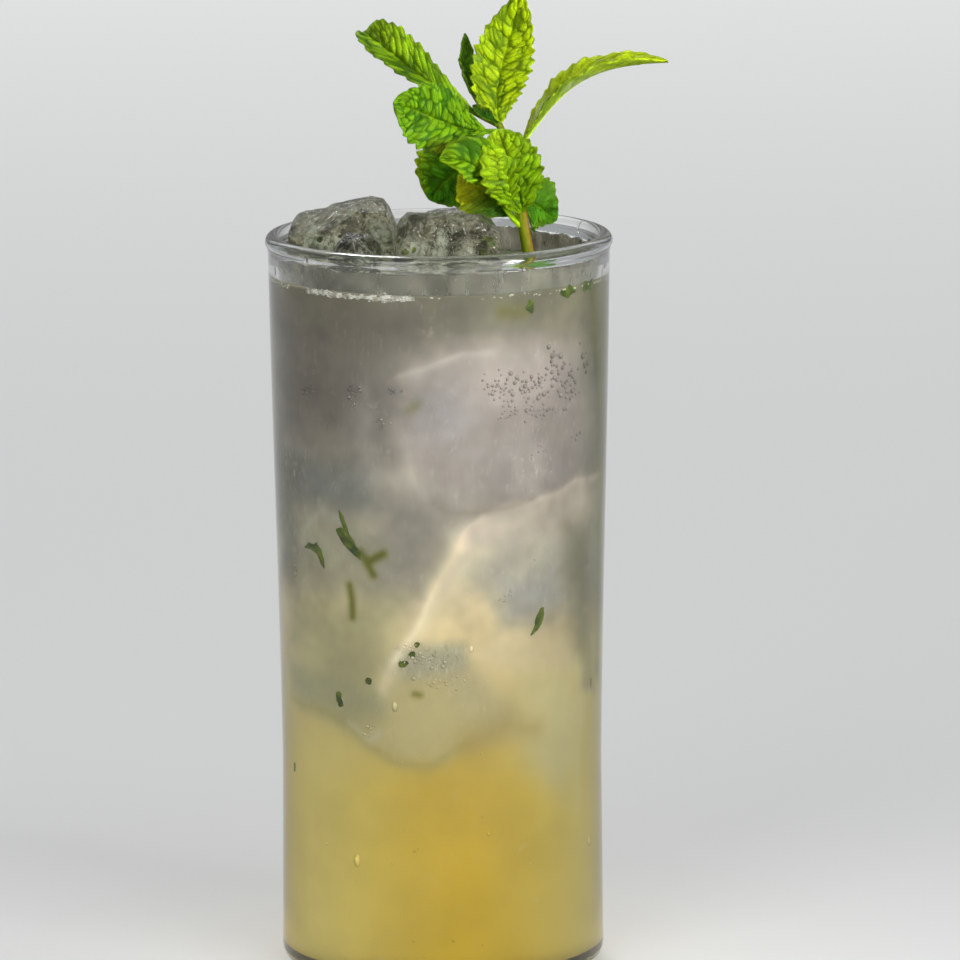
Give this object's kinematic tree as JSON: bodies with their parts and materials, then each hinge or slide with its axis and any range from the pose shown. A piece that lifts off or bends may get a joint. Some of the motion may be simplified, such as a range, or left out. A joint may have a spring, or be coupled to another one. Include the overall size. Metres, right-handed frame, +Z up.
{
  "type": "iced cocktail with mint",
  "caption": "Tall straight glass of cloudy iced drink filled nearly to the rim, with ice cubes standing out of it and an upright sprig of mint",
  "frame": {"origin": "centre of the glass's flat base, on the table", "axes": "+Z up along the glass's axis, -Y towards the shown front, +X to the right of the front, the side that the long mint leaf reaches over"},
  "size_m": [0.0804, 0.0694, 0.1959],
  "materials": {
    "clear_glass": "clear, polished",
    "cloudy_drink": "cloudy liquid, grey at the top and golden at the bottom, glossy surface",
    "clear_ice": "wet clear ice with cracks and bubbles",
    "mint_green": "quilted fresh leaf, satin"
  },
  "bodies": {
    "root": {"glass": "clear_glass", "drink": "cloudy_drink", "ice_cube_left": "clear_ice", "ice_cube_front": "clear_ice", "ice_cube_front_left": "clear_ice", "ice_cube_back": "clear_ice", "mint_sprig": "mint_green"}
  },
  "joints": []
}
